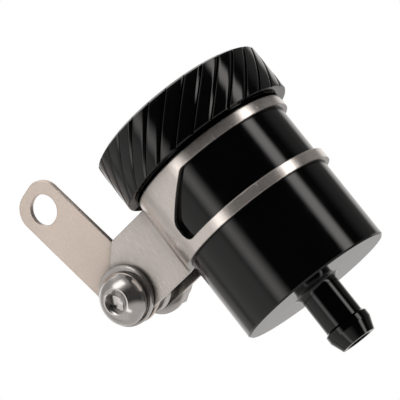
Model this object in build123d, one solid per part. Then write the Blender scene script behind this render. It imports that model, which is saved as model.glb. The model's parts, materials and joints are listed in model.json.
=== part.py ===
from build123d import *
import math
import os

# Hydraulic fluid reservoir on a clamp bracket.
# Working frame while the pieces are drawn: +Z along the reservoir's axis towards the cap, Z 0 on the
# body's flat bottom, the bracket's ears towards -X, the clamp bolt along Y with its head at -Y.
# On export every piece is moved so that the origin is the centre of the strap's fixing hole.

# ---- reservoir body
BODY_D = 31.5
BODY_EDGE = 0.33
SHOULDER_Z = 35.3
SHOULDER_CHAMFER = 0.4
NECK_H = 4.7
WALL = 2.75
FLOOR = 3.0
FLOOR_FILLET = 1.2
FLOOR_CONE = 1.0

# ---- spigot for the hose
SPIGOT_D = 8.06
SPIGOT_WALL = 1.43
SPIGOT_LENGTH = 12.75
SPIGOT_ROOT_FILLET = 1.1
BARB_STEP = 0.54
BARB_TOP = 8.45
BARB_LEAD_IN = 0.42
BARB_LAND = 1.3
BARB_TIP_STEP = 0.43

# ---- screw thread between neck and cap (right hand)
THREAD_PITCH = 2.0
THREAD_CREST_CLEAR = 0.25
THREAD_DEPTH = 0.75
THREAD_RELIEF = 0.75
THREAD_RUN_OUT = 0.35
THREAD_PHASE = 90.0
GROOVE_OPEN = 1.25
GROOVE_ROOT = 0.7
RIDGE_DEPTH = 0.7
RIDGE_BASE = 0.8
RIDGE_TIP = 0.45
RIDGE_TURNS = 1.25
RIDGE_START = 0.6

# ---- cap
CAP_MOUTH_CLEAR = 0.95
CAP_SKIRT_WALL = 2.015
CAP_TOP_WALL = 1.23
CAP_OVERLAP = 2.0
CAP_CHAMFER_RADIAL = 1.08
CAP_CHAMFER_AXIAL = 0.6
CAP_BOTTOM_EDGE = 0.2
GRIP_COUNT = 28
GRIP_ANGLE = 45.0
GRIP_WIDTH = 0.85
GRIP_DEPTH = 0.6
GRIP_FIRST = 1.2

# ---- diaphragm and slip plate under the cap
DIAPHRAGM_SKIN = 0.9
DIAPHRAGM_FLANGE = 1.2
DIAPHRAGM_DEPTH = 12.0
DIAPHRAGM_FOLD = 2.4
DIAPHRAGM_RISE = 9.0
DIAPHRAGM_CLEAR = 0.35
SLIP_PLATE_T = 1.0
SLIP_PLATE_HOLE = 8.0
SLIP_PLATE_CLEAR = 0.35
CAP_SEAT_CLEAR = 0.05

# ---- clamp bracket (folded sheet)
SHEET = 1.0
SHEET_EDGE = 0.12
BAND_CLEAR = 0.05
CLAMP_CAP_GAP = 0.7
CLAMP_H = 15.1
BAND_H = 2.15
EAR_GAP = 8.8
EAR_BEND = 2.6
EAR_CUT_ANGLE = 41.0
WINDOW_FOOT_X = -7.0
WINDOW_FOOT_RISE = 4.25
WINDOW_HEAD_X = 2.1
WINDOW_FILLET = 2.0

# ---- clamp bolt (M6 button head, hexagon socket) and its hardware
EAR_REACH = 14.25
BOLT_RISE = 4.8
BOLT_D = 6.0
BOLT_HEAD_RIM = 2.27
BOLT_HEAD_H = 2.8
BOLT_HEAD_LAND = 0.3
BOLT_HEAD_FLAT_D = 5.5
BOLT_DOME_BULGE = 0.3
SOCKET_AF = 4.1
SOCKET_RIM_D = 5.3
SOCKET_RIM_DEPTH = 0.4
SOCKET_TURN = 4.0
SOCKET_DEPTH = 2.1
BOLT_END_OUT = 1.5
BOLT_END_CHAMFER = 0.6
BOLT_HOLE_CLEAR = 0.2
FLAT_WASHER_RIM = 3.1
FLAT_WASHER_T = 1.3
FLAT_WASHER_CLEAR = 0.45
FLAT_WASHER_SAG = 0.4
WASHER_EDGE = 0.2
LOCK_WASHER_RIM = 2.0
LOCK_WASHER_T = 0.9
LOCK_WASHER_SLIT = 0.9
LOCK_WASHER_SKEW = 20.0
LOCK_WASHER_TURN = 15.0
NUT_WALL = 2.0
NUT_HEX_H = 3.3
NUT_TURN = 25.0
NUT_COLLAR_WALL = 1.7
NUT_COLLAR_H = 1.7
NUT_INSERT_WALL = 0.8
NUT_INSERT_T = 1.5
NUT_BORE_CLEAR = 0.02
NUT_CHAMFER = 0.9

# ---- mounting strap and the spacer behind it
STRAP_W = 11.2
STRAP_T = 1.0
STRAP_LEAN = 9.8
STRAP_HOLE_PITCH = 25.25
STRAP_HOLE_D = 6.4
STRAP_END = 5.4
STRAP_CORNER = 4.3
STRAP_PIVOT_CLEAR = 0.08
STRAP_FACE_CLEAR = 0.05
SPACER_RIM = 1.9
SPACER_FLANGE_T = 2.0
SPACER_GROOVE = 1.9
SPACER_BARREL_WALL = 1.1

# ---- sizes that follow from the ones above
BODY_R = BODY_D / 2
THREAD_R = BODY_R - THREAD_RELIEF
CAVITY_R = BODY_R - WALL
SPIGOT_R = SPIGOT_D / 2
BARB_R = SPIGOT_R + BARB_STEP
NECK_TOP_Z = SHOULDER_Z + NECK_H
CAP_MOUTH_R = BODY_R + CAP_MOUTH_CLEAR
CAP_R = CAP_MOUTH_R + CAP_SKIRT_WALL
CAP_Z = SHOULDER_Z - CAP_OVERLAP
CAP_BORE_R = THREAD_R + THREAD_CREST_CLEAR
FLANGE_TOP_Z = NECK_TOP_Z + DIAPHRAGM_FLANGE
SLIP_TOP_Z = FLANGE_TOP_Z + SLIP_PLATE_T
CEILING_Z = SLIP_TOP_Z + CAP_SEAT_CLEAR
CAP_TOP_Z = CEILING_Z + CAP_TOP_WALL
CAP_H = CAP_TOP_Z - CAP_Z
BAND_IN_R = BODY_R + BAND_CLEAR
BAND_OUT_R = BAND_IN_R + SHEET
CLAMP_TOP_Z = CAP_Z - CLAMP_CAP_GAP
CLAMP_Z = CLAMP_TOP_Z - CLAMP_H
BOLT_X = -(BAND_OUT_R + EAR_REACH)
BOLT_Z = CLAMP_Z + BOLT_RISE
BOLT_R = BOLT_D / 2
BOLT_HEAD_R = BOLT_R + BOLT_HEAD_RIM
FLAT_WASHER_R = BOLT_R + FLAT_WASHER_RIM
LOCK_WASHER_R = BOLT_R + LOCK_WASHER_RIM
NUT_IN_R = BOLT_R + NUT_WALL
EAR_IN_Y = EAR_GAP / 2
EAR_OUT_Y = EAR_IN_Y + SHEET
HEAD_SEAT_Y = -(EAR_OUT_Y + FLAT_WASHER_T + LOCK_WASHER_T)
NUT_SEAT_Y = EAR_OUT_Y + FLAT_WASHER_T
NUT_END_Y = NUT_SEAT_Y + NUT_HEX_H + NUT_COLLAR_H
STRAP_FRONT_Y = -EAR_IN_Y + STRAP_FACE_CLEAR
STRAP_BACK_Y = STRAP_FRONT_Y + STRAP_T
SPACER_Y = STRAP_BACK_Y + STRAP_FACE_CLEAR
PASS = 1.0
LEAN = math.radians(STRAP_LEAN)
HOLE_X = BOLT_X - STRAP_HOLE_PITCH * math.sin(LEAN)
HOLE_Z = BOLT_Z + STRAP_HOLE_PITCH * math.cos(LEAN)
HOLE_Y = (STRAP_FRONT_Y + STRAP_BACK_Y) / 2


def lathe(points):
    """Solid of revolution about Z from (radius, z) points."""
    outline = Polyline(*[(r, 0, z) for r, z in points], close=True)
    return revolve(make_face(outline), Axis.Z, 360)


def along_y(radius, y0, y1):
    """Solid cylinder on the bolt axis from y0 to y1."""
    centre = (BOLT_X, (y0 + y1) / 2, BOLT_Z)
    return Location(centre, (90, 0, 0)) * Cylinder(radius, y1 - y0)


def turned_on_bolt(points):
    """Solid of revolution about the bolt axis from (radius, y) points."""
    outline = Polyline(*[(BOLT_X + r, y, BOLT_Z) for r, y in points], close=True)
    return revolve(make_face(outline), Axis((BOLT_X, 0, BOLT_Z), (0, 1, 0)), 360)


def thread_sweep(root_r, tip_r, root_w, tip_w, z_start, turns):
    """Trapezoid carried along a right-hand helix that starts at z_start above +X."""
    path = Pos(0, 0, z_start) * Helix(THREAD_PITCH, THREAD_PITCH * turns, root_r)
    plane = Plane(origin=path @ 0, x_dir=(1, 0, 0), z_dir=path % 0)
    reach = tip_r - root_r
    corners = [(0, -root_w / 2), (0, root_w / 2), (reach, tip_w / 2), (reach, -tip_w / 2)]
    section = plane * make_face(Polyline(*corners, close=True))
    return sweep(section, path=path, is_frenet=True)


def reservoir_body():
    """Turned cup with the hose spigot below and the threaded neck on top."""
    bore_r = SPIGOT_R - SPIGOT_WALL
    land_z = BARB_TOP + BARB_LEAD_IN
    shoulder_in = THREAD_R - THREAD_DEPTH
    outline = [
        (bore_r, -SPIGOT_LENGTH),
        (SPIGOT_R - BARB_TIP_STEP, -SPIGOT_LENGTH),
        (BARB_R, -land_z - BARB_LAND),
        (BARB_R, -land_z),
        (SPIGOT_R, -BARB_TOP),
        (SPIGOT_R, 0),
        (BODY_R - BODY_EDGE, 0),
        (BODY_R, BODY_EDGE),
        (BODY_R, SHOULDER_Z - SHOULDER_CHAMFER),
        (BODY_R - SHOULDER_CHAMFER, SHOULDER_Z),
        (shoulder_in, SHOULDER_Z),
        (shoulder_in, SHOULDER_Z + THREAD_RELIEF),
        (THREAD_R, SHOULDER_Z + 2 * THREAD_RELIEF),
        (THREAD_R, NECK_TOP_Z - THREAD_RELIEF / 2),
        (THREAD_R - THREAD_RELIEF / 2, NECK_TOP_Z),
        (CAVITY_R, NECK_TOP_Z),
        (CAVITY_R, FLOOR + FLOOR_CONE),
        (bore_r, FLOOR),
    ]
    solid = lathe(outline)
    root = solid.edges().filter_by(GeomType.CIRCLE)
    root = [e for e in root if abs(e.radius - SPIGOT_R) < 1e-6 and abs(e.center().Z) < 1e-6]
    solid = fillet(root, SPIGOT_ROOT_FILLET)
    corner = solid.edges().filter_by(GeomType.CIRCLE)
    corner = [e for e in corner if abs(e.radius - CAVITY_R) < 1e-6 and e.center().Z < SHOULDER_Z]
    solid = fillet(corner, FLOOR_FILLET)
    start = SHOULDER_Z + THREAD_RELIEF
    turns = (NECK_TOP_Z - start) / THREAD_PITCH + THREAD_RUN_OUT
    groove = thread_sweep(THREAD_R - THREAD_DEPTH, THREAD_R + PASS / 4, GROOVE_ROOT,
                          GROOVE_OPEN, start, turns)
    return solid - Rot(0, 0, THREAD_PHASE) * groove


def cap():
    """Screw cap with slanting grip grooves and the inside thread."""
    outline = [
        (0, CEILING_Z),
        (CAP_BORE_R, CEILING_Z),
        (CAP_BORE_R, SHOULDER_Z + THREAD_RELIEF),
        (CAP_MOUTH_R, SHOULDER_Z + THREAD_RELIEF),
        (CAP_MOUTH_R, CAP_Z),
        (CAP_R - CAP_BOTTOM_EDGE, CAP_Z),
        (CAP_R, CAP_Z + CAP_BOTTOM_EDGE),
        (CAP_R, CAP_TOP_Z - CAP_CHAMFER_AXIAL),
        (CAP_R - CAP_CHAMFER_RADIAL, CAP_TOP_Z),
        (0, CAP_TOP_Z),
    ]
    solid = lathe(outline)
    start = SHOULDER_Z + THREAD_RELIEF + RIDGE_START * THREAD_PITCH
    ridge = thread_sweep(CAP_BORE_R + PASS / 5, CAP_BORE_R - RIDGE_DEPTH, RIDGE_BASE, RIDGE_TIP,
                         start, RIDGE_TURNS)
    ridge = Rot(0, 0, THREAD_PHASE + 360 * RIDGE_START) * ridge
    solid = solid + ridge
    lead = 2 * math.pi * CAP_R * math.tan(math.radians(GRIP_ANGLE))
    path = Pos(0, 0, CAP_Z - PASS) * Helix(lead, CAP_H + 2 * PASS, CAP_R)
    plane = Plane(origin=path @ 0, x_dir=(1, 0, 0), z_dir=path % 0)
    half = GRIP_WIDTH / 2
    notch = [(PASS, -half - PASS / 2), (PASS, half + PASS / 2), (0, half), (-GRIP_DEPTH, half / 3),
             (-GRIP_DEPTH, -half / 3), (0, -half)]
    section = plane * make_face(Polyline(*notch, close=True))
    groove = sweep(section, path=path, is_frenet=True)
    step = 360 / GRIP_COUNT
    grooves = [Rot(0, 0, GRIP_FIRST + i * step) * groove for i in range(GRIP_COUNT)]
    return solid - grooves


def diaphragm():
    """Rubber bellows: a flange on the neck, a sleeve down the cavity and a raised middle."""
    skin = DIAPHRAGM_SKIN
    out_r = CAVITY_R - DIAPHRAGM_CLEAR
    fold_r = out_r - 2 * skin - DIAPHRAGM_FOLD
    low_z = NECK_TOP_Z - DIAPHRAGM_DEPTH
    roof_z = low_z + DIAPHRAGM_RISE
    flange_r = THREAD_R - THREAD_DEPTH
    outline = [
        (0, roof_z - skin),
        (fold_r, roof_z - skin),
        (fold_r, low_z),
        (out_r, low_z),
        (out_r, NECK_TOP_Z),
        (flange_r, NECK_TOP_Z),
        (flange_r, FLANGE_TOP_Z),
        (out_r - skin, FLANGE_TOP_Z),
        (out_r - skin, low_z + skin),
        (fold_r + skin, low_z + skin),
        (fold_r + skin, roof_z),
        (0, roof_z),
    ]
    return lathe(outline)


def slip_plate():
    """Flat plate that lets the cap turn without dragging the diaphragm."""
    out_r = THREAD_R - THREAD_DEPTH - SLIP_PLATE_CLEAR
    hole_r = SLIP_PLATE_HOLE / 2
    return lathe([(hole_r, FLANGE_TOP_Z), (out_r, FLANGE_TOP_Z), (out_r, SLIP_TOP_Z),
                  (hole_r, SLIP_TOP_Z)])


def clamp_bracket():
    """One folded strip: two thin bands round the body, a wide web each side and two ears."""
    turn_y = EAR_OUT_Y + EAR_BEND
    turn_x = -math.sqrt((BAND_OUT_R + EAR_BEND) ** 2 - turn_y ** 2)
    open_angle = math.degrees(math.atan2(turn_y, -turn_x))
    ear_tip_x = BOLT_X - BOLT_RISE
    skin = []
    for band_r, bend_r, ear_y in (
        (BAND_IN_R, EAR_BEND + SHEET, EAR_IN_Y),
        (BAND_OUT_R, EAR_BEND, EAR_OUT_Y),
    ):
        ring = CenterArc((0, 0), band_r, 180 + open_angle, 360 - 2 * open_angle)
        low_bend = CenterArc((turn_x, -turn_y), bend_r, open_angle, 90 - open_angle)
        high_bend = CenterArc((turn_x, turn_y), bend_r, -90, 90 - open_angle)
        low_ear = Line((turn_x, -ear_y), (ear_tip_x, -ear_y))
        high_ear = Line((turn_x, ear_y), (ear_tip_x, ear_y))
        skin += [ring, low_bend, high_bend, low_ear, high_ear]
    skin.append(Line((ear_tip_x, -EAR_IN_Y), (ear_tip_x, -EAR_OUT_Y)))
    skin.append(Line((ear_tip_x, EAR_IN_Y), (ear_tip_x, EAR_OUT_Y)))
    strip = make_face(Curve() + skin)
    solid = extrude(Pos(0, 0, CLAMP_Z) * strip, CLAMP_H)
    cut = math.radians(90 - EAR_CUT_ANGLE)
    tangent_x = BOLT_X - BOLT_RISE * math.cos(cut)
    tangent_z = BOLT_Z + BOLT_RISE * math.sin(cut)
    cut_x = tangent_x + (CLAMP_TOP_Z - tangent_z) * math.tan(cut)
    keep = Polyline(
        (BAND_OUT_R + PASS, CLAMP_Z - PASS),
        (BOLT_X, CLAMP_Z - PASS),
        (BOLT_X, BOLT_Z),
        (tangent_x, tangent_z),
        (cut_x, CLAMP_TOP_Z),
        (cut_x, CLAMP_TOP_Z + PASS),
        (BAND_OUT_R + PASS, CLAMP_TOP_Z + PASS),
        close=True,
    )
    reach = BAND_OUT_R + PASS
    side = Plane(origin=(0, reach, 0), x_dir=(1, 0, 0), z_dir=(0, -1, 0))
    blank = extrude(side * make_face(keep), 2 * reach)
    nose = along_y(BOLT_RISE, -reach, reach)
    solid = solid & (blank + nose)
    foot_z = CLAMP_Z + BAND_H
    head_z = CLAMP_TOP_Z - BAND_H
    window = make_face(Polyline(
        (WINDOW_FOOT_X, foot_z),
        (WINDOW_FOOT_X, foot_z + WINDOW_FOOT_RISE),
        (WINDOW_HEAD_X, head_z),
        (reach, head_z),
        (reach, foot_z),
        close=True,
    ))
    corners = [v for v in window.vertices() if v.X < reach - PASS]
    window = fillet(corners, WINDOW_FILLET)
    solid = solid - extrude(side * window, 2 * reach)
    hole = along_y(BOLT_R + BOLT_HOLE_CLEAR, -reach, reach)
    return solid - hole


def clamp_bolt():
    """Button head bolt with a hexagon socket."""
    shank_r = BOLT_R
    head_r = BOLT_HEAD_R
    flat_r = BOLT_HEAD_FLAT_D / 2
    top_y = HEAD_SEAT_Y - BOLT_HEAD_H
    land_y = HEAD_SEAT_Y - BOLT_HEAD_LAND
    end_y = NUT_END_Y + BOLT_END_OUT
    outline = [
        Line((0, top_y), (flat_r, top_y)),
        SagittaArc((head_r, land_y), (flat_r, top_y), BOLT_DOME_BULGE),
        Polyline(
            (head_r, land_y),
            (head_r, HEAD_SEAT_Y),
            (shank_r, HEAD_SEAT_Y),
            (shank_r, end_y - BOLT_END_CHAMFER),
            (shank_r - BOLT_END_CHAMFER, end_y),
            (0, end_y),
            (0, top_y),
        ),
    ]
    axis_plane = Plane(origin=(BOLT_X, 0, BOLT_Z), x_dir=(1, 0, 0), z_dir=(0, 0, 1))
    profile = axis_plane * make_face(Curve() + outline)
    solid = revolve(profile, Axis((BOLT_X, 0, BOLT_Z), (0, 1, 0)), 360)
    face = Plane(origin=(BOLT_X, top_y, BOLT_Z), x_dir=(1, 0, 0), z_dir=(0, 1, 0))
    hexagon = RegularPolygon(SOCKET_AF / 2, 6, major_radius=False, rotation=SOCKET_TURN)
    solid = solid - extrude(face * hexagon, SOCKET_DEPTH)
    rim_r = SOCKET_RIM_D / 2
    rim_y = top_y + SOCKET_RIM_DEPTH
    rim = turned_on_bolt([(0, top_y - PASS), (rim_r, top_y - PASS), (rim_r, top_y),
                          (SOCKET_AF / 2, rim_y), (0, rim_y)])
    return solid - rim


def ring_on_bolt(outer_r, y0, thick, clear):
    """Washer with softened edges and the given clearance round the bolt."""
    inner_r = BOLT_R + clear
    edge = WASHER_EDGE
    y1 = y0 + thick
    return turned_on_bolt([(inner_r, y0), (outer_r - edge, y0), (outer_r, y0 + edge),
                           (outer_r, y1 - edge), (outer_r - edge, y1), (inner_r, y1)])


def flat_washers():
    """The two equal flat washers outside the ears; the one under the head sits off centre."""
    sizes = (FLAT_WASHER_T, FLAT_WASHER_CLEAR)
    front = ring_on_bolt(FLAT_WASHER_R, -(EAR_OUT_Y + FLAT_WASHER_T), *sizes)
    rear = ring_on_bolt(FLAT_WASHER_R, EAR_OUT_Y, *sizes)
    return [Pos(0, 0, FLAT_WASHER_SAG) * front, rear]


def lock_washer():
    """Split spring washer under the bolt head."""
    ring = ring_on_bolt(LOCK_WASHER_R, HEAD_SEAT_Y, LOCK_WASHER_T, BOLT_HOLE_CLEAR)
    slit = Box(2 * LOCK_WASHER_R, 3 * LOCK_WASHER_T, LOCK_WASHER_SLIT)
    slit = Pos(-LOCK_WASHER_R, 0, 0) * slit
    slit = Rot(LOCK_WASHER_SKEW, 0, 0) * slit
    slit = Pos(BOLT_X, HEAD_SEAT_Y + LOCK_WASHER_T / 2, BOLT_Z) * Rot(0, LOCK_WASHER_TURN, 0) * slit
    return ring - slit


def spacer_sleeve():
    """Grooved spool that fills the gap from the strap to the far ear."""
    inner_r = BOLT_R + BOLT_HOLE_CLEAR
    flange_r = BOLT_R + SPACER_RIM
    barrel_r = BOLT_R + SPACER_BARREL_WALL
    edge = WASHER_EDGE
    first_y = SPACER_Y + SPACER_FLANGE_T
    second_y = first_y + SPACER_GROOVE
    third_y = second_y + SPACER_FLANGE_T
    return turned_on_bolt([(inner_r, SPACER_Y), (flange_r - edge, SPACER_Y),
                           (flange_r, SPACER_Y + edge), (flange_r, first_y - edge),
                           (flange_r - edge, first_y), (barrel_r, first_y),
                           (barrel_r, second_y), (flange_r - edge, second_y),
                           (flange_r, second_y + edge), (flange_r, third_y - edge),
                           (flange_r - edge, third_y), (barrel_r, third_y),
                           (barrel_r, EAR_IN_Y), (inner_r, EAR_IN_Y)])


def lock_nut():
    """Hexagon nut with a round collar that holds the locking insert."""
    bore_r = BOLT_R + NUT_BORE_CLEAR
    across = 2 * NUT_IN_R / math.sqrt(3)
    far_y = NUT_SEAT_Y + NUT_HEX_H
    start = Plane(origin=(BOLT_X, NUT_SEAT_Y, BOLT_Z), x_dir=(1, 0, 0), z_dir=(0, 1, 0))
    outline = RegularPolygon(NUT_IN_R, 6, major_radius=False, rotation=NUT_TURN)
    hexagon = extrude(start * outline, NUT_HEX_H)
    flare = across - NUT_IN_R
    cone = turned_on_bolt([(0, NUT_SEAT_Y), (NUT_IN_R, NUT_SEAT_Y),
                           (across + PASS / 5, NUT_SEAT_Y + flare),
                           (across + PASS / 5, far_y - flare), (NUT_IN_R, far_y), (0, far_y)])
    collar_r = BOLT_R + NUT_COLLAR_WALL
    top_y = far_y + NUT_COLLAR_H
    collar = turned_on_bolt([(0, far_y), (collar_r, far_y), (collar_r, top_y - NUT_CHAMFER / 2),
                             (collar_r - NUT_CHAMFER / 2, top_y), (0, top_y)])
    solid = (hexagon & cone) + collar
    solid = solid - along_y(bore_r, NUT_SEAT_Y - PASS, top_y + PASS)
    return solid - along_y(BOLT_R + NUT_INSERT_WALL, top_y - NUT_INSERT_T, top_y + PASS)


def nut_insert():
    """Locking ring pressed into the nut's collar."""
    bore_r = BOLT_R + NUT_BORE_CLEAR
    y0 = NUT_END_Y - NUT_INSERT_T
    y1 = NUT_END_Y - NUT_CHAMFER / 4
    outer = BOLT_R + NUT_INSERT_WALL
    return turned_on_bolt([(bore_r, y0), (outer, y0), (outer, y1), (bore_r, y1)])


def mounting_strap():
    """Flat strap that pivots on the clamp bolt, with the fixing hole at its far end."""
    half = STRAP_W / 2
    end = STRAP_HOLE_PITCH + STRAP_END
    shape = Pos(0, end / 2) * Rectangle(STRAP_W, end)
    shape = fillet(shape.vertices().group_by(Axis.Y)[-1], STRAP_CORNER)
    shape = shape + Circle(half)
    shape = shape - Circle(BOLT_R + STRAP_PIVOT_CLEAR)
    shape = shape - Pos(0, STRAP_HOLE_PITCH) * Circle(STRAP_HOLE_D / 2)
    face = Plane(origin=(BOLT_X, STRAP_BACK_Y, BOLT_Z), x_dir=(1, 0, 0), z_dir=(0, -1, 0))
    solid = extrude(face * Rot(0, 0, STRAP_LEAN) * shape, STRAP_T)
    flats = solid.faces().filter_by(Axis.Y)
    rim = [flat.outer_wire().edges() for flat in flats]
    return chamfer([e for wire in rim for e in wire], SHEET_EDGE)


def write(name, shape):
    """Write one node, moved so that the origin is the centre of the fixing hole."""
    solids = shape if isinstance(shape, list) else shape.solids()
    moved = [Pos(-HOLE_X, -HOLE_Y, -HOLE_Z) * s for s in solids]
    body = moved[0] if len(moved) == 1 else Compound(children=moved)
    export_step(body, os.path.join("parts", name + ".step"))


os.makedirs("parts", exist_ok=True)
NODES = {
    "mounting_strap": mounting_strap,
    "clamp_bracket": clamp_bracket,
    "clamp_bolt": clamp_bolt,
    "lock_washer": lock_washer,
    "flat_washers": flat_washers,
    "spacer_sleeve": spacer_sleeve,
    "lock_nut": lock_nut,
    "nut_insert": nut_insert,
    "reservoir_body": reservoir_body,
    "diaphragm": diaphragm,
    "slip_plate": slip_plate,
    "cap": cap,
}
for node, make in NODES.items():
    write(node, make())
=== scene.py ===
import json
import math

import bpy
import numpy as np
from bpy.props import FloatProperty, FloatVectorProperty, IntProperty, PointerProperty
from mathutils import Matrix, Vector


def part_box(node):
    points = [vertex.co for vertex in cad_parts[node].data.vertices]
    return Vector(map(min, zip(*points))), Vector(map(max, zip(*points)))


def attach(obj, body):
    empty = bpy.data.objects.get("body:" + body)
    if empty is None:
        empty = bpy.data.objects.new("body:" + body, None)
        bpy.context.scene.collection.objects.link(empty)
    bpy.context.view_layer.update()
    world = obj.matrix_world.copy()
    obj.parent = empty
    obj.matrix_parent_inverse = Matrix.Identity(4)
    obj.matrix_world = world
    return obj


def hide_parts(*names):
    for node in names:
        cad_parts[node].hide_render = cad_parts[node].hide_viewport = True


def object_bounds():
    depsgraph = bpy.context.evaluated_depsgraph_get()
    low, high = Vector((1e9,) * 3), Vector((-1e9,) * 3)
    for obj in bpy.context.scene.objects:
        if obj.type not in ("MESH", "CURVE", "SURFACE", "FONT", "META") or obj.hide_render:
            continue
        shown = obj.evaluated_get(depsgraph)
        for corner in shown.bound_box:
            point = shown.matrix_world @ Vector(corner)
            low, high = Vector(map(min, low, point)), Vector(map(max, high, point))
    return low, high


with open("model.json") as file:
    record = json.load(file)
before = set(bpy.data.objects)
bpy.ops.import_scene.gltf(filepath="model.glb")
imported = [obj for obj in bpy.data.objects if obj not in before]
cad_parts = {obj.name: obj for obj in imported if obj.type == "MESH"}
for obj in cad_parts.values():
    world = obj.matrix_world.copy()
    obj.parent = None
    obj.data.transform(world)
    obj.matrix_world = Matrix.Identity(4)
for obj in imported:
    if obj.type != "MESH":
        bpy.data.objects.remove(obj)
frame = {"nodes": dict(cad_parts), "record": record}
CAD_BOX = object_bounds()
NODES = frame["nodes"]
RECORD = frame["record"]
MM = 0.001

bl_info = {
    "name": "Clamp Mounted Fluid Reservoir",
    "version": (1, 0, 0),
    "blender": (4, 5, 0),
    "location": "View3D > Sidebar > Reservoir",
    "description": "Builds the finishes, fine surfaces and studio of a small hydraulic fluid reservoir",
    "category": "Object",
}


# ---------------------------------------------------------------- shader maths

class Wire:
    """A value socket that can be used in a Python expression; each operator adds one Math node."""

    def __init__(self, graph, socket):
        self.graph = graph
        self.socket = socket

    def _math(self, operation, *values):
        return self.graph.add("ShaderNodeMath", {"operation": operation}, dict(enumerate(values)))

    def __add__(self, other):
        return self._math("ADD", self, other)

    def __sub__(self, other):
        return self._math("SUBTRACT", self, other)

    def __mul__(self, other):
        return self._math("MULTIPLY", self, other)

    def __truediv__(self, other):
        return self._math("DIVIDE", self, other)

    def __radd__(self, other):
        return self._math("ADD", other, self)

    def __rsub__(self, other):
        return self._math("SUBTRACT", other, self)

    def __rmul__(self, other):
        return self._math("MULTIPLY", other, self)

    def __rtruediv__(self, other):
        return self._math("DIVIDE", other, self)

    def __gt__(self, other):
        return self._math("GREATER_THAN", self, other)

    def __lt__(self, other):
        return self._math("LESS_THAN", self, other)

    def power(self, other):
        return self._math("POWER", self, other)

    def least(self, other):
        return self._math("MINIMUM", self, other)

    def most(self, other):
        return self._math("MAXIMUM", self, other)

    def sine(self):
        return self._math("SINE", self)

    def absolute(self):
        return self._math("ABSOLUTE", self)

    def fraction(self):
        return self._math("FRACT", self)

    def angle_with(self, other):
        """Angle of the point (other, self), in radians."""
        return self._math("ARCTAN2", self, other)

    def arcsine(self):
        return self._math("ARCSINE", self)

    def ramp(self, low, high, to_low=0.0, to_high=1.0, smooth=False):
        """Clamped line, straight or eased, from to_low at low to to_high at high."""
        kind = "SMOOTHSTEP" if smooth else "LINEAR"
        return self.graph.add("ShaderNodeMapRange", {"clamp": True, "interpolation_type": kind},
                              {0: self, 1: low, 2: high, 3: to_low, 4: to_high})

    def window(self, low, high, soft):
        """1 between low and high, easing to 0 over the soft distance at each end."""
        rise = self.ramp(low - soft / 2, low + soft / 2, smooth=True)
        return rise * self.ramp(high - soft / 2, high + soft / 2, 1.0, 0.0, smooth=True)


class Graph:
    """Node tree builder: one method adds any node, sets it and wires it."""

    def __init__(self, tree):
        self.tree = tree
        tree.nodes.clear()

    def add(self, kind, settings=None, sockets=None, output=0):
        node = self.tree.nodes.new(kind)
        for key, value in (settings or {}).items():
            if key == "stops":
                self._stops(node.color_ramp, value)
            else:
                setattr(node, key, value)
        for key, value in (sockets or {}).items():
            if isinstance(value, Wire):
                self.tree.links.new(value.socket, node.inputs[key])
            else:
                node.inputs[key].default_value = value
        return Wire(self, node.outputs[output]) if len(node.outputs) else node

    def _stops(self, ramp, stops):
        while len(ramp.elements) < len(stops):
            ramp.elements.new(0.5)
        for element, (place, colour) in zip(ramp.elements, stops):
            element.position = place
            element.color = colour

    def place(self, scale=(1.0, 1.0, 1.0), turn=(0.0, 0.0, 0.0), shift=(0.0, 0.0, 0.0)):
        """Object coordinates, moved, turned and scaled by a Mapping node."""
        here = self.add("ShaderNodeTexCoord", output="Object")
        return self.add("ShaderNodeMapping", {},
                        {"Vector": here, "Location": shift, "Rotation": turn, "Scale": scale})

    def split(self, vector):
        node = self.add("ShaderNodeSeparateXYZ", {}, {0: vector}).socket.node
        return [Wire(self, out) for out in node.outputs]

    def noise(self, vector, scale, detail=2.0, roughness=0.5):
        return self.add("ShaderNodeTexNoise", {},
                        {"Vector": vector, "Scale": scale, "Detail": detail, "Roughness": roughness})

    def mix(self, factor, first, second):
        node = self.add("ShaderNodeMix", {"data_type": "RGBA"}, {0: factor}).socket.node
        for index, value in ((6, first), (7, second)):
            if isinstance(value, Wire):
                self.tree.links.new(value.socket, node.inputs[index])
            else:
                node.inputs[index].default_value = value
        return Wire(self, node.outputs[2])

    def bump(self, height, distance, strength=1.0, normal=None):
        sockets = {"Height": height, "Distance": distance, "Strength": strength}
        if normal is not None:
            sockets["Normal"] = normal
        return self.add("ShaderNodeBump", {}, sockets)

    def eased_edges(self, radius):
        """Normal that rounds the piece's own sharp edges."""
        return self.add("ShaderNodeBevel", {"samples": 4}, {"Radius": radius})

    def surface(self, **sockets):
        """Principled surface joined to the output; names use _ for spaces."""
        named = {key.replace("_", " "): value for key, value in sockets.items()}
        shader = self.add("ShaderNodeBsdfPrincipled", {}, named)
        self.add("ShaderNodeOutputMaterial", {}, {"Surface": shader})


def rgb(colour):
    return (colour[0], colour[1], colour[2], 1.0)


def shade(colour, factor):
    return (colour[0] * factor, colour[1] * factor, colour[2] * factor, 1.0)


# ---------------------------------------------------------------- surfaces

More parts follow.
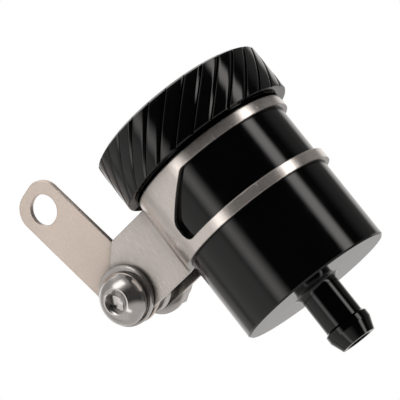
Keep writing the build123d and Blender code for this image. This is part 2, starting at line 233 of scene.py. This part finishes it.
def eased(corners, ease, step):
    """Turns (radius, height) corners into an outline, an array of points.

    Each inner corner is cut off at the ease distance on both sides and replaced by the quadratic curve
    a(1-t)^2 + 2c t(1-t) + b t^2; the straight runs between are divided into pieces of at most step."""
    points = [np.array(corners[0], float)]
    for before, corner, after in zip(corners, corners[1:], corners[2:]):
        corner, before, after = (np.array(p, float) for p in (corner, before, after))
        to_before, to_after = before - corner, after - corner
        cut = min(ease, 0.45 * np.linalg.norm(to_before), 0.45 * np.linalg.norm(to_after))
        first = corner + to_before * cut / np.linalg.norm(to_before)
        last = corner + to_after * cut / np.linalg.norm(to_after)
        t = np.linspace(0.0, 1.0, 5)[:, None]
        curve = first * (1 - t) ** 2 + 2 * corner * t * (1 - t) + last * t ** 2
        points.extend(straight(points[-1], first, step))
        points.extend(curve[1:])
    points.extend(straight(points[-1], np.array(corners[-1], float), step))
    return np.array(points)


def straight(start, end, step):
    """Evenly spaced points after start up to and with end, no further apart than step."""
    count = max(1, math.ceil(np.linalg.norm(end - start) / step))
    return [start + (end - start) * i / count for i in range(1, count + 1)]


def shell_on_axis(name, radius, height, turn, centre, along):
    """Closed surface of rows round an axis, between two poles.

    Row i, column j lies at centre + radius[i,j] (cos turn[i,j], sin turn[i,j]) across the axis and
    height[i,j] along it. The first and last rows are the poles. Rows run from the outer pole outwards,
    down and back inside, so that with columns turning left-handed down the axis every face looks out."""
    along = Vector(along).normalized()
    across = Vector((1.0, 0.0, 0.0))
    beside = along.cross(across)
    basis = np.array([across, beside, along])
    local = np.stack([radius * np.cos(turn), radius * np.sin(turn), height], axis=-1)
    body = (local[1:-1] @ basis + np.array(centre)).reshape(-1, 3)
    poles = np.array([[0.0, 0.0, height[0, 0]], [0.0, 0.0, height[-1, 0]]]) @ basis + np.array(centre)
    rows, columns = radius.shape[0] - 2, radius.shape[1]
    index = np.arange(rows * columns).reshape(rows, columns)
    right = np.roll(index, -1, axis=1)
    quads = np.stack([index[:-1], index[1:], right[1:], right[:-1]], axis=-1).reshape(-1, 4)
    top, bottom = rows * columns, rows * columns + 1
    cap_faces = np.stack([np.full(columns, top), index[0], right[0]], axis=-1)
    end_faces = np.stack([np.full(columns, bottom), right[-1], index[-1]], axis=-1)
    mesh = bpy.data.meshes.new(name)
    mesh.from_pydata(np.vstack([body, poles]).tolist(), [],
                     quads.tolist() + cap_faces.tolist() + end_faces.tolist())
    mesh.shade_smooth()
    mesh.set_sharp_from_angle(angle=math.radians(38.0))
    piece = bpy.data.objects.new(name, mesh)
    bpy.context.scene.collection.objects.link(piece)
    return piece


def bore_axis(node):
    """Centre line of a node's box: its middle across X and Y, and its lowest and highest Z."""
    lo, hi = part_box(node)
    return (lo.x + hi.x) / 2, (lo.y + hi.y) / 2, lo.z, hi.z


def finish_on(names, material):
    """Puts one material on every slot of the named CAD nodes."""
    for name in names:
        data = NODES[name].data
        data.materials.clear()
        data.materials.append(material)


def new_finish(name):
    material = bpy.data.materials.new(name)
    material.use_nodes = True
    return material, Graph(material.node_tree)


def black_anodised(name, colour, roughness):
    """Turned and black anodised aluminium: very fine tool rings round the axis, faint cloudiness."""
    material, g = new_finish(name)
    cloud = g.noise(g.place(), 260.0, 3.0)
    rings = g.noise(g.place(scale=(40.0, 40.0, 9000.0)), 1.0, 2.0)
    g.surface(
        Base_Color=g.mix(cloud, shade(colour, 0.8), shade(colour, 1.3)),
        Metallic=0.0,
        Roughness=cloud.ramp(0.3, 0.7, roughness * 0.8, roughness * 1.25),
        IOR=1.5,
        Normal=g.bump(rings, 0.0000006),
    )
    return material


def brushed_sheet(name, colour, roughness, stretch):
    """Brushed stainless: streaks drawn out along one direction, over a soft cloud.

    Corners and gaps between parts get painted shade, an ambient occlusion darkening of the colour, and the
    sheared edges are eased."""
    material, g = new_finish(name)
    grain = g.noise(g.place(scale=stretch), 1.0, 4.0, 0.6)
    cloud = g.noise(g.place(), 90.0, 3.0)
    tone = (grain * 0.7 + cloud * 0.3).ramp(0.3, 0.7, 0.0, 1.0)
    # Painted shade: ambient occlusion darkens the colour in corners, at contacts and between the ears
    occlusion_shade = g.add("ShaderNodeAmbientOcclusion", {"samples": 6}, {"Distance": 14.0 * MM}, output="AO")
    unshaded = g.mix(tone, shade(colour, 0.88), shade(colour, 1.1))
    g.surface(
        Base_Color=g.mix(occlusion_shade.ramp(0.45, 0.95, 0.0, 1.0), shade(colour, 0.16), unshaded),
        Metallic=0.84,
        Roughness=tone * (0.3 * roughness) + 0.85 * roughness,
        Normal=g.bump(grain, 0.000004, normal=g.eased_edges(0.3 * MM)),
    )
    return material


def polished_steel(name, colour, roughness):
    """Bright turned stainless with faint smears, and painted shade that darkens the colour in crevices such as
    the socket; the haze on it dulls the blacks.
    """
    material, g = new_finish(name)
    smear = g.noise(g.place(), 420.0, 4.0)
    # Painted shade: ambient occlusion darkens the colour in the socket, under the head and between washers
    occlusion_shade = g.add("ShaderNodeAmbientOcclusion", {"samples": 6}, {"Distance": 3.0 * MM}, output="AO")
    unshaded = g.mix(smear, shade(colour, 0.9), shade(colour, 1.08))
    g.surface(
        Base_Color=g.mix(occlusion_shade.ramp(0.15, 0.8, 0.0, 1.0), shade(colour, 0.32), unshaded),
        Metallic=0.9,
        Roughness=smear.ramp(0.3, 0.7, roughness * 0.7, roughness * 1.4),
        Normal=g.bump(smear, 0.000003, normal=g.eased_edges(0.08 * MM)),
    )
    return material


def moulded(name, colour, roughness, grain):
    """Moulded rubber or plastic with a fine skin."""
    material, g = new_finish(name)
    skin = g.noise(g.place(), grain, 3.0)
    g.surface(
        Base_Color=g.mix(skin, shade(colour, 0.85), shade(colour, 1.15)),
        Roughness=skin.ramp(0.3, 0.7, roughness * 0.9, roughness * 1.1),
        Normal=g.bump(skin, 0.00001),
    )
    return material


# ---------------------------------------------------------------- settings

class ReservoirFinish(bpy.types.PropertyGroup):
    """Colours and finishes."""

    anodised: FloatVectorProperty(name="Anodised Colour", description="Colour of the black anodised aluminium",
                                  subtype="COLOR", size=3, min=0, max=1, default=(0.0016, 0.0016, 0.0017))
    anodised_rough: FloatProperty(name="Anodised Roughness", description="Micro roughness of body and cap",
                                  min=0, max=1, default=0.10)
    sheet: FloatVectorProperty(name="Sheet Colour", description="Colour of the bracket's stainless sheet",
                               subtype="COLOR", size=3, min=0, max=1, default=(0.87, 0.805, 0.76))
    sheet_rough: FloatProperty(name="Sheet Roughness", description="Micro roughness of the bracket's sheet",
                               min=0, max=1, default=0.25)
    strap: FloatVectorProperty(name="Strap Colour", description="Colour of the strap's stainless",
                               subtype="COLOR", size=3, min=0, max=1, default=(0.89, 0.765, 0.68))
    strap_rough: FloatProperty(name="Strap Roughness", description="Micro roughness of the strap",
                               min=0, max=1, default=0.34)
    polished: FloatVectorProperty(name="Hardware Colour", description="Colour of bolt, washers and nut",
                                  subtype="COLOR", size=3, min=0, max=1, default=(0.66, 0.63, 0.61))
    polished_rough: FloatProperty(name="Hardware Roughness", description="Micro roughness of bolt and washers",
                                  min=0, max=1, default=0.17)


class ReservoirCap(bpy.types.PropertyGroup):
    """Sizes of the screw cap."""

    grooves: IntProperty(name="Grooves", description="Number of slanting grip grooves", min=3, default=28)
    first: FloatProperty(name="First Groove", description="Bearing of the first groove at the cap's mouth",
                         unit="ROTATION", default=math.radians(1.2))
    depth: FloatProperty(name="Groove Depth", description="Depth of each groove", unit="LENGTH",
                         default=0.6 * MM)
    width: FloatProperty(name="Groove Width", description="Width of a groove with its eased lips",
                         unit="LENGTH", default=0.9 * MM)
    mouth: FloatProperty(name="Mouth Radius", description="Inside of the skirt below the thread",
                         unit="LENGTH", default=16.7 * MM)
    bore: FloatProperty(name="Bore Radius", description="Inside of the cap at the thread's root",
                        unit="LENGTH", default=15.25 * MM)
    skirt: FloatProperty(name="Skirt Depth", description="Height of the mouth's wide part", unit="LENGTH",
                         default=2.75 * MM)
    top: FloatProperty(name="Top Wall", description="Thickness of the cap's top", unit="LENGTH",
                       default=1.23 * MM)
    chamfer: FloatProperty(name="Chamfer Width", description="Radial width of the top chamfer",
                           unit="LENGTH", default=1.08 * MM)
    chamfer_drop: FloatProperty(name="Chamfer Drop", description="Height of the top chamfer",
                                unit="LENGTH", default=0.6 * MM)
    pitch: FloatProperty(name="Thread Pitch", description="Advance of the cap in one turn", unit="LENGTH",
                         default=2.0 * MM)
    ridge: FloatProperty(name="Ridge Depth", description="Height of the thread ridge inside the cap",
                         unit="LENGTH", default=0.6 * MM)


class ReservoirBolt(bpy.types.PropertyGroup):
    """Sizes of the clamp bolt."""

    socket: FloatProperty(name="Socket Size", description="Width across the flats of the hexagon socket",
                          unit="LENGTH", default=4.1 * MM)
    socket_depth: FloatProperty(name="Socket Depth", description="Depth of the socket", unit="LENGTH",
                                default=2.1 * MM)
    socket_turn: FloatProperty(name="Socket Turn", description="Turn of the socket about the bolt",
                               unit="ROTATION", default=math.radians(-4.0))
    rim: FloatProperty(name="Socket Rim", description="Radius of the countersink at the socket's mouth",
                       unit="LENGTH", default=2.47 * MM)
    rim_depth: FloatProperty(name="Rim Depth", description="Depth of that countersink", unit="LENGTH",
                             default=0.25 * MM)
    crown: FloatProperty(name="Crown Radius", description="Radius of the head's flat crown", unit="LENGTH",
                         default=2.75 * MM)
    head: FloatProperty(name="Head Height", description="Height of the button head", unit="LENGTH",
                        default=2.8 * MM)
    land: FloatProperty(name="Head Land", description="Height of the straight rim under the dome",
                        unit="LENGTH", default=0.3 * MM)
    bulge: FloatProperty(name="Dome Bulge", description="Rise of the dome over the straight line",
                         unit="LENGTH", default=0.3 * MM)
    shank: FloatProperty(name="Shank Radius", description="Radius of shank and thread crests",
                         unit="LENGTH", default=3.0 * MM)
    pitch: FloatProperty(name="Thread Pitch", description="Advance of the thread in one turn",
                         unit="LENGTH", default=1.0 * MM)
    threaded: FloatProperty(name="Threaded Length", description="Length of the thread from the bolt's end",
                            unit="LENGTH", default=9.0 * MM)


class ReservoirDiaphragm(bpy.types.PropertyGroup):
    """Sizes of the rubber diaphragm."""

    skin: FloatProperty(name="Skin", description="Thickness of the rubber", unit="LENGTH", default=0.9 * MM)
    flange: FloatProperty(name="Flange", description="Thickness of the clamped flange", unit="LENGTH",
                          default=1.2 * MM)
    sleeve: FloatProperty(name="Sleeve Radius", description="Outside of the sleeve in the cavity",
                          unit="LENGTH", default=12.65 * MM)
    fold: FloatProperty(name="Fold Radius", description="Inside of the raised middle", unit="LENGTH",
                        default=8.45 * MM)
    rise: FloatProperty(name="Rise", description="Height of the middle over the fold", unit="LENGTH",
                        default=9.0 * MM)
    settle: FloatProperty(name="Settle", description="Gap that keeps the flange off the slip plate",
                          unit="LENGTH", default=0.01 * MM)
    ripples: IntProperty(name="Ripples", description="Bellows ripples down the sleeve", min=1, default=4)
    ripple: FloatProperty(name="Ripple Depth", description="Depth of each ripple", unit="LENGTH",
                          default=0.32 * MM)


class ReservoirStudio(bpy.types.PropertyGroup):
    """Camera and light."""

    aim: FloatVectorProperty(name="Aim", description="Point the camera looks at", subtype="XYZ", unit="LENGTH",
                             size=3, default=(0.02917, 0.00029, -0.02060))
    distance: FloatProperty(name="Distance", description="From the aim to the camera", unit="LENGTH",
                            min=0.05, default=0.3564)
    azimuth: FloatProperty(name="Azimuth", description="Turn of the view about the reservoir's axis",
                           unit="ROTATION", default=math.radians(30.0))
    elevation: FloatProperty(name="Elevation", description="Height of the view above the horizon",
                             unit="ROTATION", default=math.radians(-11.02))
    roll: FloatProperty(name="Roll", description="Turn of the camera about its own line of sight",
                        unit="ROTATION", default=math.radians(-38.13))
    lens: FloatProperty(name="Lens", description="Focal length in millimetres", min=10, default=169.6)
    glow_tint: FloatVectorProperty(name="Glow Tint", description="Colour of the studio's panels",
                                   subtype="COLOR", size=3, min=0, max=1, default=(1.0, 0.975, 0.955))
    floor_drop: FloatProperty(name="Floor Drop", description="Depth of the floor under the object",
                              unit="LENGTH", min=0, default=1.2)


# Studio panels: bearing from, bearing to, height from, height to, softness (degrees) and glow
PANELS = (
    (-55.0, -38.0, -55.0, 45.0, 18.0, 1.85),
    (61.0, 77.0, -55.0, 24.0, 10.0, 3.0),
    (-45.0, 25.0, 38.0, 66.0, 16.0, 1.9),
    (-118.0, -56.0, -60.0, 46.0, 26.0, 0.60),
    (-152.0, -118.0, -60.0, 46.0, 26.0, 0.5),
    (100.0, 150.0, -50.0, 70.0, 24.0, 0.16),
)


# ---------------------------------------------------------------- operators

class ReservoirOperator(bpy.types.Operator):
    bl_options = {"REGISTER", "UNDO"}


class RESERVOIR_OT_finishes(ReservoirOperator):
    """Gives every piece of the reservoir its finish"""
    bl_idname = "reservoir.finishes"
    bl_label = "Finishes"

    def execute(self, context):
        look = context.scene.reservoir_finish
        anodised = black_anodised("black_anodised", look.anodised, look.anodised_rough)
        sheet = brushed_sheet("bracket_stainless", look.sheet, look.sheet_rough, (5200.0, 5200.0, 520.0))
        strap = brushed_sheet("strap_stainless", look.strap, look.strap_rough, (5200.0, 1500.0, 3400.0))
        bright = polished_steel("hardware_stainless", look.polished, look.polished_rough)
        finish_on(["reservoir_body"], anodised)
        finish_on(["clamp_bracket"], sheet)
        finish_on(["mounting_strap"], strap)
        finish_on(["lock_washer", "flat_washers", "spacer_sleeve", "lock_nut"], bright)
        finish_on(["slip_plate"], moulded("plate_acetal", (0.03, 0.03, 0.03), 0.4, 900.0))
        finish_on(["nut_insert"], moulded("insert_nylon", (0.75, 0.75, 0.72), 0.5, 900.0))
        return {"FINISHED"}


class RESERVOIR_OT_cap(ReservoirOperator):
    """Makes the screw cap with its slant-sided grip grooves and the thread ridge inside"""
    bl_idname = "reservoir.cap"
    bl_label = "Cap"

    # Across a groove from its upper side, as shares of its width, and the depth there as a share of the full
    # depth: a gentle flank, a narrow slot and a steep side with an eased lip.
    groove = ((-0.62, 0.0), (-0.53, 0.03), (-0.44, 0.083), (-0.26, 0.21), (-0.07, 0.34), (0.0, 0.55),
              (0.06, 0.87), (0.10, 1.0), (0.14, 0.87), (0.20, 0.45), (0.24, 0.18), (0.29, 0.06),
              (0.33, 0.013), (0.39, 0.0))

    def columns(self, size):
        """Bearings of one round of columns: one on each point of a groove's outline, a few on the land."""
        spacing = math.tau / size.grooves
        turn = math.sqrt(2.0) / self.radius
        outline = np.array([across for across, depth in self.groove]) * size.width * turn
        land = np.linspace(outline[-1], outline[0] + spacing, 7)[1:-1]
        one = np.concatenate([outline, land])
        return (one[None, :] + np.arange(size.grooves)[:, None] * spacing).ravel()

    def depth(self, size, bearing):
        """Depth of the grooves at a bearing, read off the outline by its distance across the nearest one."""
        spacing = math.tau / size.grooves
        away = np.mod(bearing + spacing / 2, spacing) - spacing / 2
        across = away * self.radius / (math.sqrt(2.0) * size.width)
        places, depths = zip(*self.groove)
        return size.depth * np.interp(across, places, depths)

    def execute(self, context):
        size = context.scene.reservoir_cap
        x, y, low, high = bore_axis("cap")
        lo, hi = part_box("cap")
        self.radius = radius = (hi.x - lo.x) / 2
        ceiling = high - size.top
        ledge = low + size.skirt
        edge = 0.2 * MM
        outside = eased([(0.0, high), (radius - size.chamfer, high), (radius, high - size.chamfer_drop),
                         (radius, low + edge), (radius - edge, low), (size.mouth, low),
                         (size.mouth, ledge), (size.bore, ledge)], 0.08 * MM, 0.9 * MM)
        inside = eased([(size.bore, ledge), (size.bore, ceiling), (0.0, ceiling)], 0.05 * MM, 0.09 * MM)
        threaded = inside[inside[:, 0] > size.bore - edge / 2]
        roof = straight(threaded[-1], inside[-1], size.bore / 6)
        outline = np.vstack([outside, threaded[1:], roof])
        rows = outline[:, 1][:, None]
        start = self.columns(size)[None, :] + size.first
        skirt = np.clip(rows, low, high) - low
        outer = (np.arange(len(outline)) < len(outside))[:, None]
        bearing = start + np.where(outer, skirt, 0.0) / radius
        cut = radius - self.depth(size, start - size.first)
        plain = np.broadcast_to(outline[:, 0][:, None], bearing.shape)
        reach = np.where(outer & (plain > size.mouth + edge), np.minimum(plain, cut), plain)
        bearing = np.where(outer, bearing, start)
        reach = np.where(outer, reach, reach - self.thread(size, rows, start, ledge))
        piece = shell_on_axis("screw_cap", reach, np.broadcast_to(rows, reach.shape), bearing,
                              (x, y, 0.0), (0.0, 0.0, 1.0))
        look = context.scene.reservoir_finish
        piece.data.materials.append(black_anodised("cap_anodised", look.anodised, look.anodised_rough))
        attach(piece, "cap")
        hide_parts("cap")
        return {"FINISHED"}

    def thread(self, size, rows, bearing, ledge):
        """Height of the ridge: a bump that climbs one pitch a turn and fades in and out over its run.

        Turns run from 0.6 to 1.85 after the ledge; the bump is a cosine of half width 0.4 mm."""
        first, last, half = 0.6, 1.85, 0.42 * MM
        height = rows - ledge
        near = np.round(height / size.pitch - bearing / math.tau)
        turns = near + bearing / math.tau
        away = np.abs(height - turns * size.pitch)
        bump = np.where(away < half, 0.5 + 0.5 * np.cos(math.pi * away / half), 0.0)
        fade = np.clip((turns - first) / 0.08, 0.0, 1.0) * np.clip((last - turns) / 0.08, 0.0, 1.0)
        return size.ridge * bump * fade


class RESERVOIR_OT_bolt(ReservoirOperator):
    """Makes the clamp bolt with its domed head, hexagon socket and rolled thread"""
    bl_idname = "reservoir.bolt"
    bl_label = "Bolt"

    def execute(self, context):
        size = context.scene.reservoir_bolt
        lo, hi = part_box("clamp_bolt")
        centre = ((lo.x + hi.x) / 2, hi.y, (lo.z + hi.z) / 2)
        head = (hi.x - lo.x) / 2
        top = hi.y - lo.y
        seat = top - size.head
        foot = top - size.socket_depth
        flat = size.socket / 2
        socket = np.array([(0.0, foot - 0.25 * flat), (0.5 * flat, foot - 0.12 * flat), (0.99 * flat, foot)]
                          + straight(np.array((flat, foot)), np.array((flat, top - size.rim_depth)), 0.3 * MM))
        mouth = straight(np.array((flat, top - size.rim_depth)), np.array((size.rim, top)), 0.06 * MM)
        crown = np.array([(size.crown, top)])
        dome = self.arc(np.array((size.crown, top)), np.array((head, seat + size.land)), size.bulge)
        end = 0.6 * MM
        shank = eased([(head, seat + size.land), (head, seat), (size.shank, seat),
                       (size.shank, size.threaded)], 0.06 * MM, 0.7 * MM)
        rolled = straight(np.array((size.shank, size.threaded)), np.array((size.shank, end)), size.pitch / 12)
        tip = np.array([(size.shank - end, 0.0), (0.4 * size.shank, 0.0), (0.0, 0.0)])
        outline = np.vstack([socket, mouth, crown, dome[1:], shank[1:], rolled, tip])
        turn = (np.arange(144) * math.tau / 144)[None, :]
        radius = np.broadcast_to(outline[:, 0][:, None], (len(outline), turn.shape[1]))
        height = np.broadcast_to(outline[:, 1][:, None], radius.shape)
        sector = np.mod(turn - size.socket_turn, math.pi / 3) - math.pi / 6
        hexagon = 1.0 / np.cos(sector)
        row = np.arange(len(outline))[:, None]
        in_socket = row < len(socket)
        in_mouth = (row >= len(socket)) & (row < len(socket) + len(mouth))
        radius = np.where(in_socket, radius * hexagon, radius)
        radius = np.where(in_mouth, np.maximum(radius, np.minimum(flat * hexagon, size.rim)), radius)
        first = len(outline) - len(tip) - len(rolled)
        in_thread = (row >= first) & (row < first + len(rolled))
        fade = np.clip((size.threaded - height) / size.pitch, 0.0, 1.0)
        wave = np.abs(np.mod(height / size.pitch + turn / math.tau, 1.0) - 0.5) * 2.0
        depth = 0.6 * size.pitch * np.clip(1.15 - 1.3 * wave, 0.0, 1.0) * fade
        radius = np.where(in_thread, radius - depth, radius)
        piece = shell_on_axis("domed_clamp_bolt", radius, height, np.broadcast_to(turn, radius.shape),
                              centre, (0.0, -1.0, 0.0))
        look = context.scene.reservoir_finish
        piece.data.materials.append(polished_steel("bolt_stainless", look.polished, look.polished_rough))
        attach(piece, "clamp")
        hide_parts("clamp_bolt")
        return {"FINISHED"}

    def arc(self, start, end, bulge):
        """Circular arc from start to end that rises by bulge over the middle of the straight line."""
        half = np.linalg.norm(end - start) / 2
        radius = (half * half + bulge * bulge) / (2 * bulge)
        along = (end - start) / (2 * half)
        out = np.array((-along[1], along[0]))
        middle = (start + end) / 2 - out * (radius - bulge)
        angle = np.linspace(-1.0, 1.0, 17)[:, None] * math.asin(half / radius)
        return middle + radius * (np.sin(angle) * along + np.cos(angle) * out)


class RESERVOIR_OT_diaphragm(ReservoirOperator):
    """Makes the rubber diaphragm with its bellows ripples"""
    bl_idname = "reservoir.diaphragm"
    bl_label = "Diaphragm"

    def execute(self, context):
        size = context.scene.reservoir_diaphragm
        x, y, low, high = bore_axis("diaphragm")
        high -= size.settle
        lo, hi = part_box("diaphragm")
        flange = (hi.x - lo.x) / 2
        under = high - size.flange
        roof = low + size.rise
        outline = eased([(0.0, roof), (size.fold + size.skin, roof), (size.fold + size.skin, low + size.skin),
                         (size.sleeve - size.skin, low + size.skin), (size.sleeve - size.skin, high),
                         (flange, high), (flange, under), (size.sleeve, under), (size.sleeve, low),
                         (size.fold, low), (size.fold, roof - size.skin), (0.0, roof - size.skin)],
                        0.4 * MM, 0.25 * MM)
        span = under - low
        run = np.clip((outline[:, 1] - low) / span, 0.0, 1.0)
        on_sleeve = (outline[:, 0] > size.sleeve - 1.5 * size.skin) & (run > 0.02) & (run < 0.98)
        ripple = size.ripple * 0.5 * (1 - np.cos(math.tau * size.ripples * run))
        radius = np.where(on_sleeve, outline[:, 0] - ripple, outline[:, 0])
        turn = (np.arange(128) * math.tau / 128)[None, :]
        shape = (len(outline), turn.shape[1])
        piece = shell_on_axis("bellows_diaphragm", np.broadcast_to(radius[:, None], shape),
                              np.broadcast_to(outline[:, 1][:, None], shape),
                              np.broadcast_to(turn, shape), (x, y, 0.0), (0.0, 0.0, 1.0))
        piece.data.materials.append(moulded("diaphragm_rubber", (0.02, 0.02, 0.02), 0.6, 1500.0))
        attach(piece, "reservoir")
        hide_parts("diaphragm")
        return {"FINISHED"}


class RESERVOIR_OT_studio(ReservoirOperator):
    """Makes the floor, the lights, the surroundings and the camera"""
    bl_idname = "reservoir.studio"
    bl_label = "Studio"

    def execute(self, context):
        scene = context.scene
        studio = scene.reservoir_studio
        aim = Vector(studio.aim)
        lo, hi = CAD_BOX
        size = 6.0
        level = lo.z - studio.floor_drop
        corners = [(-size, -size, level), (size, -size, level), (size, size, level), (-size, size, level)]
        mesh = bpy.data.meshes.new("floor")
        mesh.from_pydata(corners, [], [(0, 1, 2, 3)])
        floor = bpy.data.objects.new("floor", mesh)
        scene.collection.objects.link(floor)
        paper, g = new_finish("floor_paper")
        g.surface(Base_Color=(0.9, 0.9, 0.9, 1.0), Roughness=0.9)
        mesh.materials.append(paper)
        floor.visible_glossy = False
        self.surroundings(scene)
        self.camera(scene, aim)
        scene.view_settings.view_transform = "Standard"
        return {"FINISHED"}

    def surroundings(self, scene):
        """Studio as a glow by direction: each panel is a soft-edged window in bearing and height.

        Bearing is measured from the camera's side of the object, positive to the right."""
        studio = scene.reservoir_studio
        world = bpy.data.worlds.new("studio")
        world.use_nodes = True
        g = Graph(world.node_tree)
        way = g.add("ShaderNodeTexCoord", output="Generated")
        turned = g.add("ShaderNodeMapping", {"vector_type": "POINT"},
                       {"Vector": way, "Rotation": (0.0, 0.0, -studio.azimuth)})
        x, y, z = g.split(turned)
        bearing = x.angle_with(y * -1.0) * math.degrees(1.0)
        height = z.arcsine() * math.degrees(1.0)
        level = bearing.absolute().ramp(132.0, 150.0, smooth=True) * height.ramp(-8.0, 6.0, 0.66, 1.0)
        sunk = height + bearing.most(-40.0).least(40.0) * 0.4
        level = level.most(sunk.ramp(-48.0, -24.0, 0.5, 0.0, smooth=True))
        level = level.most(height.ramp(12.0, 38.0, 0.012, 0.32, smooth=True))
        level = level.most(height.ramp(66.0, 80.0, 0.0, 0.5, smooth=True))
        for low, high, foot, head, soft, strength in PANELS:
            panel = bearing.window(low, high, soft) * height.window(foot, head, soft)
            level = level.most(panel * strength)
        sees = g.add("ShaderNodeLightPath", output="Is Camera Ray")
        level = level * (1.0 - sees) + sees
        tint = g.mix(sees, rgb(studio.glow_tint), (1.0, 1.0, 1.0, 1.0))
        glow = g.add("ShaderNodeBackground", {}, {0: tint, 1: level})
        g.add("ShaderNodeOutputWorld", {}, {"Surface": glow})
        scene.world = world

    def camera(self, scene, aim):
        studio = scene.reservoir_studio
        az, el = studio.azimuth, studio.elevation
        back = Vector((math.sin(az) * math.cos(el), -math.cos(az) * math.cos(el), math.sin(el)))
        data = bpy.data.cameras.new("camera")
        data.lens = studio.lens
        data.sensor_width = 36.0
        data.clip_start = 0.01
        data.clip_end = 50.0
        camera = bpy.data.objects.new("camera", data)
        look = (-back).to_track_quat("-Z", "Y").to_matrix() @ Matrix.Rotation(studio.roll, 3, "Z")
        camera.matrix_world = Matrix.LocRotScale(aim + back * studio.distance, look.to_quaternion(), None)
        scene.collection.objects.link(camera)
        scene.camera = camera


class RESERVOIR_PT_build(bpy.types.Panel):
    """Lists the building steps"""
    bl_idname = "RESERVOIR_PT_build"
    bl_label = "Reservoir"
    bl_space_type = "VIEW_3D"
    bl_region_type = "UI"
    bl_category = "Reservoir"

    def draw(self, context):
        for step in STEPS:
            self.layout.operator(step.bl_idname)
        for key in SETTINGS:
            settings = getattr(context.scene, key)
            for name in settings.__annotations__:
                self.layout.prop(settings, name)


STEPS = (RESERVOIR_OT_finishes, RESERVOIR_OT_cap, RESERVOIR_OT_bolt, RESERVOIR_OT_diaphragm,
         RESERVOIR_OT_studio)
SETTINGS = {
    "reservoir_finish": ReservoirFinish,
    "reservoir_cap": ReservoirCap,
    "reservoir_bolt": ReservoirBolt,
    "reservoir_diaphragm": ReservoirDiaphragm,
    "reservoir_studio": ReservoirStudio,
}
CLASSES = tuple(SETTINGS.values()) + STEPS + (RESERVOIR_PT_build,)


def register():
    for cls in CLASSES:
        bpy.utils.register_class(cls)
    for key, group in SETTINGS.items():
        setattr(bpy.types.Scene, key, PointerProperty(type=group))


def unregister():
    for key in SETTINGS:
        delattr(bpy.types.Scene, key)
    for cls in reversed(CLASSES):
        bpy.utils.unregister_class(cls)


def main():
    register()
    for step in STEPS:
        family, verb = step.bl_idname.split(".")
        getattr(getattr(bpy.ops, family), verb)()


if __name__ == "__main__":
    main()
